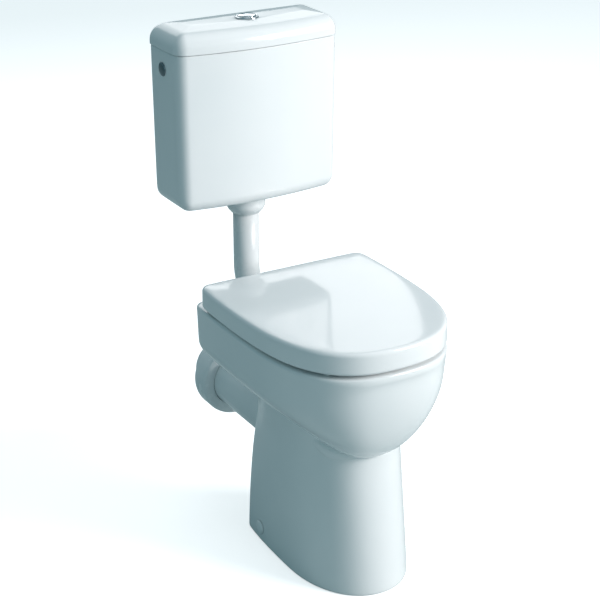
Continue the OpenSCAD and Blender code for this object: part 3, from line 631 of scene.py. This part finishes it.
# %% Flush pipe
bm = bmesh.new()
bmesh.ops.create_circle(bm, cap_ends=False, segments=48, radius=pipe_radius,
                        matrix=Matrix.Translation((0, pipe_y, pipe_high.z)))
bend_z, bend_y = horn_z + pipe_bend, pipe_y - pipe_bend
edges = run_on(bm, bm.edges[:], (0, 0, bend_z - pipe_high.z))
edges = bend_on(bm, edges, (0, bend_y, bend_z), -90, 14)
edges = run_on(bm, edges, (0, pipe_low.y - bend_y, 0))
pipe = to_mesh(bm, "flush_pipe_tube")
thick = pipe.modifiers.new("wall", "SOLIDIFY")
thick.thickness, thick.offset, thick.use_even_offset = 0.002, -1, True
smooth(pipe, sharp=50)
declare(pipe, "flush_pipe")

# %% [markdown]
# ## Seat and cover
# The cover is a shallow shell with a soft upper edge. The ring under it is fuller, and its inner
# edge slopes down to the bowl. Both carry lugs that turn on the hinge pins.

# %% Seat cover


def cover_outline(inset):
    return d_shape(cover_high.x - inset, cover_low.y + inset, cover_high.y - inset, mid_y, 2.6,
                   max(rim_corner - inset, 8), 2.5)


def cover_ring(inset, height):
    return level(cover_outline(inset), height)


top, low = cover_high.z, cover_low.z
rings = [cover_ring(90, top - 5), cover_ring(30, top - 5), cover_ring(10, top - 5),
         cover_ring(5.5, top - 7), cover_ring(4, top - 12), cover_ring(4, low + 2),
         cover_ring(3.6, low + 0.3), cover_ring(2, low), cover_ring(0.8, low + 0.2),
         cover_ring(0.1, low + 1.4), cover_ring(0, low + 5)]
edge_radius = 8
for angle in (0, 20, 40, 60, 80):
    a = math.radians(angle)
    rings.append(cover_ring(edge_radius * (1 - math.cos(a)), top - 9.5 + edge_radius * math.sin(a)))
rings += [cover_ring(12, top - 1.2), cover_ring(40, top - 0.5), cover_ring(90, top)]
bm = bmesh.new()
skin(bm, rings)
cover = to_mesh(bm, "seat_cover_shell")
smooth(cover, levels=2, sharp=0)

# %% [markdown]
# The cover's rear edge is cut away on both sides, where the hinge posts stand.

# %% Cut-outs for the hinges
carve(cover, pair_of_blocks(56.5, 98.5, cover_high.y - 12, cover_high.y + 8, low - 1, top - 8, 1))
declare(cover, "seat_cover")

# %% Seat ring


def seat_outline(inset):
    return d_shape(ring_high.x - inset, ring_low.y + inset, hinge_y - 24 - inset, mid_y, 2.6,
                   rim_corner, 1.5)


def seat_hole(grow):
    half, rear = 109, pan_rear - 142
    front = rear - 260
    return d_shape(half + grow, front - grow, rear + grow, (front + rear) / 2, 2.3, half * 0.75)


seat_low, seat_top = ring_low.z, ring_low.z + 18
rings = [level(seat_hole(3), seat_low), level(seat_outline(3), seat_low),
         level(seat_outline(0.6), seat_low + 0.8), level(seat_outline(0), seat_low + 3),
         level(seat_outline(0), seat_top - 7), level(seat_outline(0.8), seat_top - 3),
         level(seat_outline(3.4), seat_top - 0.8), level(seat_outline(9), seat_top),
         level(seat_hole(16), seat_top - 0.4), level(seat_hole(8), seat_top - 2),
         level(seat_hole(2.5), seat_top - 5), level(seat_hole(0), seat_top - 10),
         level(seat_hole(0.5), seat_low + 2)]
bm = bmesh.new()
skin(bm, rings, joined=True)
seat = to_mesh(bm, "seat_ring_shell")
smooth(seat, levels=2, sharp=0)
declare(seat, "seat_ring")

# %% [markdown]
# The lugs and the hinge posts are flat shapes with a round eye. Each is a face in the Y-Z plane
# that is extruded across, with its edges beveled.

# %% Hinge lugs and posts
eye_radius = 8


def plate(bm, outline, x, width, bevel):
    face = bm.faces.new([bm.verts.new((x, y, z)) for y, z in outline])
    grown = bmesh.ops.extrude_face_region(bm, geom=[face], use_keep_orig=True)["geom"]
    verts = [v for v in grown if isinstance(v, bmesh.types.BMVert)]
    bmesh.ops.translate(bm, vec=(width, 0, 0), verts=verts)
    flat = [e for e in bm.edges if abs(e.verts[0].co.x - e.verts[1].co.x) < 0.01]
    rims = [e for e in flat if min(abs(e.verts[0].co.x - x), abs(e.verts[0].co.x - x - width)) < 0.01]
    bmesh.ops.bevel(bm, geom=rims, offset=bevel, offset_type="OFFSET", segments=3, profile=0.5,
                    affect="EDGES", clamp_overlap=True, material=-1)


def eye(start, end):
    return [(hinge_y + y, hinge_z + z) for y, z in arc(0, 0, eye_radius, start, end, 14)]


def mirrored(bm):
    bmesh.ops.mirror(bm, geom=bm.verts[:] + bm.edges[:] + bm.faces[:], axis="X", merge_dist=0.0001)


def hinge_piece(name, node, outline, x, width, bevel=0.8):
    """The same plate on both sides, as one piece."""
    bm = bmesh.new()
    plate(bm, outline, x, width, bevel)
    mirrored(bm)
    made = to_mesh(bm, name)
    smooth(made, sharp=35)
    declare(made, node)


mid_x = hinge_pitch / 2
hinge_piece("seat_lugs", "seat_ring",
            eye(-60, 120) + [(hinge_y - 34, seat_top - 1), (hinge_y - 34, seat_low + 4)],
            mid_x - lug_width - 8, lug_width)
hinge_piece("cover_lugs", "seat_cover",
            eye(150, 390) + [(hinge_y + 7, top - 4), (hinge_y - 7, top - 4)],
            mid_x + 8, lug_width)
hinge_piece("hinge_post_blades", "hinge_posts",
            eye(0, 180) + [(hinge_y - 8, rim_z + 4), (hinge_y + 8, rim_z + 4)],
            mid_x - post_width / 2, post_width, 1.2)
bm = turned(bmesh.new(), [(4.1, 0), (13, 0), (13, 5), (4.1, 5)], (mid_x, hinge_y, rim_z), "Z", True, 0.9, 48)
mirrored(bm)
feet = to_mesh(bm, "hinge_post_feet")
smooth(feet, sharp=35)
declare(feet, "hinge_posts")

# %% [markdown]
# ## Cistern
# The body is a moulded box with a bowed front and a rounded underside. The lid overlaps its edge,
# and the seam between them is a thin dark line.

# %% Cistern outlines
wall_y, seam_z, floor_half = tank_high.y, tank_high.z, tank_high.x
tank_front = wall_y - tank_depth


def tank_shape(half, inset, rear_inset, corner=24):
    """Outline with a bowed front; the two insets are for the front and sides, and for the rear."""
    a, back = half - inset, wall_y - rear_inset
    f, r, rear_r = tank_front + tank_bow + inset, max(corner - inset, 5), 5
    front = [(x * (a - r), f - tank_bow * (1 - x * x)) for x in [-1 + i / 6 for i in range(1, 12)]]
    return (arc(a - rear_r, back - rear_r, rear_r, 0, 90, 3)
            + arc(-a + rear_r, back - rear_r, rear_r, 90, 180, 3)
            + arc(-a + r, f + r, r, 180, 262, 7) + front + arc(a - r, f + r, r, 278, 360, 7))


def tank_ring(inset, rear_inset, height, half=floor_half):
    return level(tank_shape(half, inset, rear_inset), height)


def turns(first, last, step):
    """Sine and cosine at even steps of a quarter turn."""
    return [(math.sin(math.radians(a)), math.cos(math.radians(a))) for a in range(first, last, step)]


# %% Cistern body
draft = 2                     # how much each side leans in, from the seam down to the floor
low_half = floor_half - draft
mid_z = 800
mid_half = floor_half - draft * (seam_z - mid_z) / (seam_z - tank_low.z)
bottom_r = 26
rings = []
for s, c in turns(0, 91, 15):
    rings.append(tank_ring(bottom_r * (1 - s) * 0.8, 0, tank_low.z + bottom_r * (1 - c), low_half))
rings += [tank_ring(0, 0, mid_z, mid_half), tank_ring(0, 0, seam_z - 3),
          tank_ring(0.15, 0.15, seam_z - 0.5), tank_ring(0.7, 0.7, seam_z),
          tank_ring(tank_wall - 0.7, tank_wall - 0.7, seam_z),
          tank_ring(tank_wall, tank_wall, seam_z - 0.8)]
for s, c in turns(90, -1, -15):
    rings.append(tank_ring(tank_wall + (bottom_r - tank_wall) * (1 - s) * 0.8, tank_wall,
                           tank_low.z + tank_wall + (bottom_r - tank_wall) * (1 - c), low_half))
bm = bmesh.new()
skin(bm, rings)
tank = to_mesh(bm, "cistern_body_shell")
smooth(tank, levels=2, sharp=0)
bm = bmesh.new()
facing_y = Matrix.Rotation(math.pi / 2, 4, "X")
for x in (-75, 75):
    place = Matrix.Translation((x, wall_y - 2, seam_z - 35)) @ facing_y
    bmesh.ops.create_cone(bm, cap_ends=True, segments=32, radius1=5, radius2=5, depth=12, matrix=place)
carve(tank, bm)
declare(tank, "cistern_body")

# %% Cistern lid
crown_r = 30                  # rounding of the lid's top edge
top, low = lid_high.z, lid_low.z + 7
under, crown, over = top - 6.5, top - 3, 2
well = bezel_high.x - 2


def well_ring(height):
    spread = [math.radians(38 + 360 * i / 35) for i in range(35)]
    return [(well * math.cos(a), button_y + well * math.sin(a), height) for a in spread]


rings = [well_ring(under - 0.4), well_ring(under), tank_ring(crown_r + 10, crown_r + 8, under),
         tank_ring(crown_r, crown_r, under)]
for s, c in turns(75, -1, -15):
    inset = (crown_r - tank_wall) * (1 - c)
    height = crown - crown_r + (under - crown + crown_r) * s
    rings.append(tank_ring(tank_wall - over + inset, tank_wall + inset / 2, height))
rings += [tank_ring(9, 10, low + 5), tank_ring(9, 10, low - 6), tank_ring(8.6, 9.6, low - 7),
          tank_ring(6.4, 6.4, low - 7), tank_ring(6, 6, low - 6), tank_ring(6, 6, low - 0.6),
          tank_ring(5.4, 5.4, low), tank_ring(-1, 0.8, low), tank_ring(-1.7, 0.2, low + 0.3),
          tank_ring(-over, 0, low + 1.4)]
for s, c in turns(0, 91, 10):
    inset = crown_r * (1 - c)
    rings.append(tank_ring(inset - over, inset / 2, crown - crown_r + crown_r * s))
rings += [tank_ring(44, 36, top - 0.4), tank_ring(50, 40, top), well_ring(top), well_ring(top - 0.6)]
bm = bmesh.new()
skin(bm, rings, joined=True)
lid = to_mesh(bm, "cistern_lid_shell")
smooth(lid, levels=2, sharp=0)
declare(lid, "cistern_lid")

# %% [markdown]
# ## Buttons and small fittings
# The push button is a chrome disc in a chrome ring, split in two. The disc is spun whole, cut by a
# plane and closed again, so that the two halves match.

# %% Bezel and buttons
web, out = top - 24, 22
turned_piece("button_bezel_ring", [
    (0.01, web), (out - 2.4, web), (out - 2.4, top), (out, top), (out, top + 1), (out - 0.6, top + 2.2),
    (out - 2.2, top + 2.8), (out - 4.2, top + 2.2), (out - 4.2, web + 2.6), (0.01, web + 2.6)],
    (0, button_y, 0), "button_bezel", "Z", 0.35, 96)


def half_button(name, node, place, side):
    edge, face = out - 4.6, span("full_button")[1].z - 1.4
    profile = [(0, top - 9), (edge, top - 9), (edge, face - 1.8), (edge - 1.2, face - 0.6),
               (edge - 5, face + 0.6), (0, face + 1.4)]
    bm = turned(bmesh.new(), profile, (0, button_y, 0), "Z", False, 0.5, 96)
    bmesh.ops.remove_doubles(bm, verts=bm.verts, dist=0.001)
    bmesh.ops.bisect_plane(bm, geom=bm.verts[:] + bm.edges[:] + bm.faces[:], dist=0.0001,
                           plane_co=(place, 0, 0), plane_no=(side, 0, 0), clear_inner=True)
    rim = [e for e in bm.edges if e.is_boundary]
    caps = bmesh.ops.contextual_create(bm, geom=rim)["faces"]
    around = {e for f in caps for e in f.edges}
    bmesh.ops.bevel(bm, geom=list(around), offset=0.35, offset_type="OFFSET", segments=2, profile=0.5,
                    affect="EDGES", clamp_overlap=True, material=-1)
    made = to_mesh(bm, name)
    smooth(made, sharp=35)
    declare(made, node)


half_button("full_flush_half", "full_button", -2.8, 1)
half_button("half_flush_half", "half_button", -3.2, -1)

# %% Side plug and screw caps
plug_low, plug_high = span("side_plug")
side_z = (plug_low.z + plug_high.z) / 2
turned_piece("side_plug_button", [
    (0.01, 0), (7.5, 0.3), (11.8, 1.3), (13.5, 3.1), (9, 3.3), (9, 18), (0.01, 18)],
    (plug_low.x, pipe_y, side_z), "side_plug", "X", 0.5, 64)

cap_z = (cap_low.z + cap_high.z) / 2
bm = turned(bmesh.new(), [
    (7, 1.8), (7, 0), (14, 0), (14, 1), (12.5, 2.6), (8, 3.6), (0.01, 4), (0.01, 1.8)],
    (cap_high.x - 4, 0, cap_z), "X", True, 0.3, 64)
mirrored(bm)
caps = to_mesh(bm, "foot_screw_caps")
smooth(caps, sharp=35)
declare(caps, "screw_caps")

# %% [markdown]
# ## Studio
# The ware stands on a white floor. A broad soft key comes from the front and right, and the left
# is left dim, so the sides that face left are a cool grey. A pale card behind on the right is
# mirrored in the cover and the lid.

# %% Floor and lights


def floor_finish():
    """Pale floor: it also glows for the camera, so it stays white without lighting the ware."""
    f = Finish("pale_floor", Roughness=0.6, Specular_IOR_Level=0.1, Emission_Strength=0.6)
    tone = f.between(f.noise(0.6, 2.0), 0.0, 1.0)
    seen = f.node("ShaderNodeLightPath", {}, {}, "Is Camera Ray")
    pale = f.blend(tone, (0.93, 0.94, 0.94, 1), (0.91, 0.925, 0.93, 1))
    return f.use(Base_Color=f.blend(seen, (0.42, 0.50, 0.51, 1), pale),
                 Emission_Color=f.blend(seen, (0, 0, 0, 1), (1, 1, 1, 1)))


bpy.ops.mesh.primitive_plane_add(size=24)
floor = bpy.context.object
floor.name = "studio_floor"
floor.data.materials.append(floor_finish())


def area(name, place, target, size, power, colour=(1, 1, 1)):
    light = bpy.data.lights.new(name, "AREA")
    light.shape = "RECTANGLE"
    light.size, light.size_y = size
    light.energy, light.color = power, colour
    made = bpy.data.objects.new(name, light)
    bpy.context.scene.collection.objects.link(made)
    made.location = place
    made.rotation_euler = (Vector(target) - Vector(place)).to_track_quat("-Z", "Y").to_euler()
    return made


area("key", (2.8, -3.1, 2.1), (0, -0.1, 0.5), (2.0, 1.8), 205, (1.0, 0.955, 0.95))
area("top", (0.2, -0.6, 3.6), (0, 0, 0.5), (2.6, 2.6), 20, (0.97, 0.98, 1.0))
area("left", (-3.0, -1.2, 1.6), (0, 0, 0.5), (2.0, 2.0), 3, (0.60, 0.92, 1.0))
area("card", (0.7, 2.7, 2.4), (0, -0.1, 0.5), (2.8, 1.7), 28, (1.0, 0.97, 0.97))

world = bpy.data.worlds.new("studio")
bpy.context.scene.world = world
world.use_nodes = True
sky = world.node_tree.nodes["Background"]
sky.inputs["Color"].default_value = (0.42, 0.73, 0.83, 1)
sky.inputs["Strength"].default_value = 0.33
bpy.context.scene.view_settings.view_transform = "Standard"

# %% Camera
lens = bpy.data.cameras.new("camera")
lens.lens, lens.sensor_width = 97.9, 36
camera = bpy.data.objects.new("camera", lens)
bpy.context.scene.collection.objects.link(camera)
camera.location = (-1.4007, -2.3668, 1.6632)
yaw, dip = math.radians(30.3), math.radians(23.3)
forward = Vector((math.sin(yaw) * math.cos(dip), math.cos(yaw) * math.cos(dip), -math.sin(dip)))
camera.rotation_euler = forward.to_track_quat("-Z", "Y").to_euler()
bpy.context.scene.camera = camera
